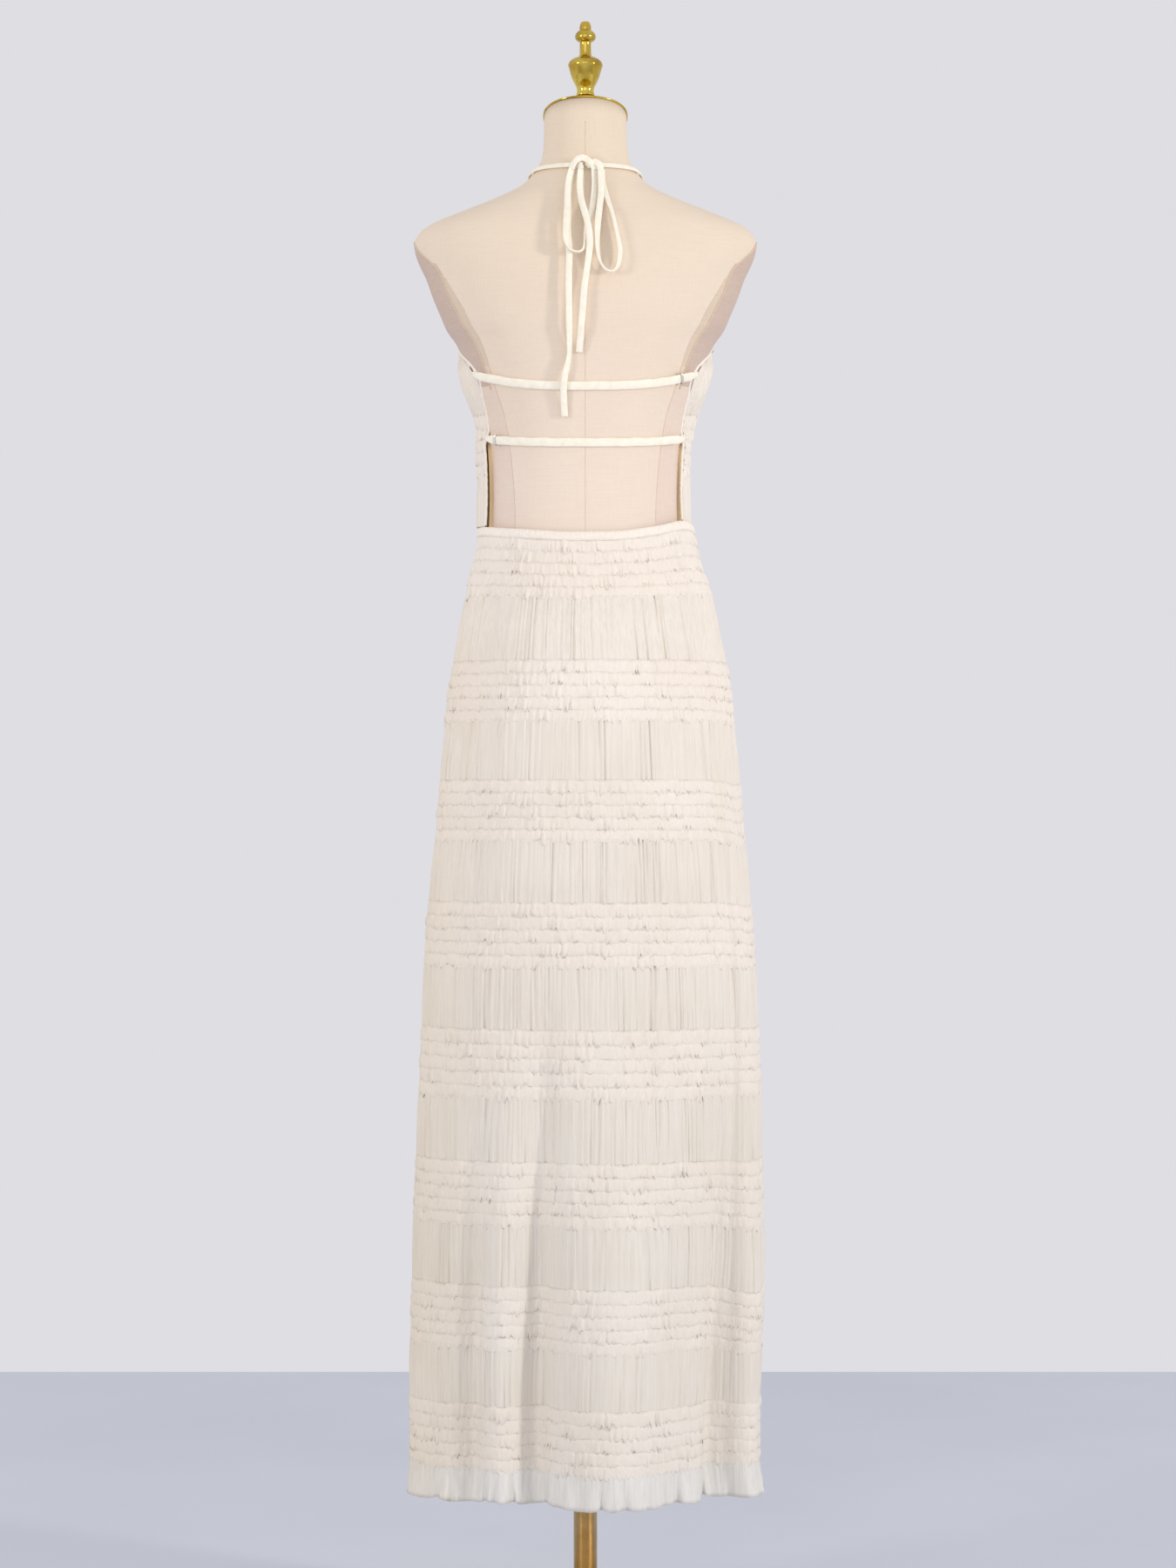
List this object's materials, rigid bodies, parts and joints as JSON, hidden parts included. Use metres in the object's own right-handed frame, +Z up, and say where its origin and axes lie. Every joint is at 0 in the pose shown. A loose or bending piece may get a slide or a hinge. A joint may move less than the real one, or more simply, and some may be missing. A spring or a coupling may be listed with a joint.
{
  "type": "halter dress on a dress form",
  "caption": "Long halter dress of ruffled and gathered chiffon with an open back, back straps and a tied bow, standing on a limbless dress form with pole and round base.",
  "frame": {"origin": "on the floor, at the centre of the base's underside, under the pole", "axes": "+Z up the pole, -Y out of the dress's front, +Y out of its bare back, +X to the wearer's left"},
  "size_m": [0.4044, 0.3448, 1.7724],
  "materials": {
    "ruffle_chiffon": "matte",
    "gathered_chiffon": "matte",
    "flounce_chiffon": "matte",
    "self_binding": "matte",
    "strap_satin": "satin",
    "form_linen": "matte",
    "ring_metal": "polished",
    "brass": "polished",
    "bronze": "satin"
  },
  "bodies": {
    "root": {"skirt_band_1": "ruffle_chiffon", "skirt_band_2": "ruffle_chiffon", "skirt_band_3": "ruffle_chiffon", "skirt_band_4": "ruffle_chiffon", "skirt_band_5": "ruffle_chiffon", "skirt_band_6": "ruffle_chiffon", "skirt_band_7": "ruffle_chiffon", "skirt_band_8": "ruffle_chiffon", "skirt_tier_1": "gathered_chiffon", "skirt_tier_2": "gathered_chiffon", "skirt_tier_3": "gathered_chiffon", "skirt_tier_4": "gathered_chiffon", "skirt_tier_5": "gathered_chiffon", "skirt_tier_6": "gathered_chiffon", "skirt_tier_7": "gathered_chiffon", "waistband": "self_binding", "hem_flounce": "flounce_chiffon", "bodice_tier_1": "gathered_chiffon", "bodice_band_1": "ruffle_chiffon", "bodice_tier_2": "gathered_chiffon", "bodice_band_2": "ruffle_chiffon", "bodice_tier_3": "gathered_chiffon", "neckline_binding": "self_binding", "side_binding_left": "self_binding", "side_binding_right": "self_binding", "back_strap_upper": "strap_satin", "back_strap_lower": "strap_satin", "neck_strap_left": "strap_satin", "neck_strap_right": "strap_satin", "tie_tail_long": "strap_satin", "tie_tail_short": "strap_satin", "tie_loop_left": "strap_satin", "tie_loop_right": "strap_satin", "tie_knot": "strap_satin", "strap_ring_upper": "ring_metal", "strap_ring_lower": "ring_metal", "dress_form": "form_linen", "neck_cap": "brass", "finial": "brass", "pole_collar": "bronze", "stand_pole": "bronze", "stand_base": "bronze"}
  },
  "joints": []
}
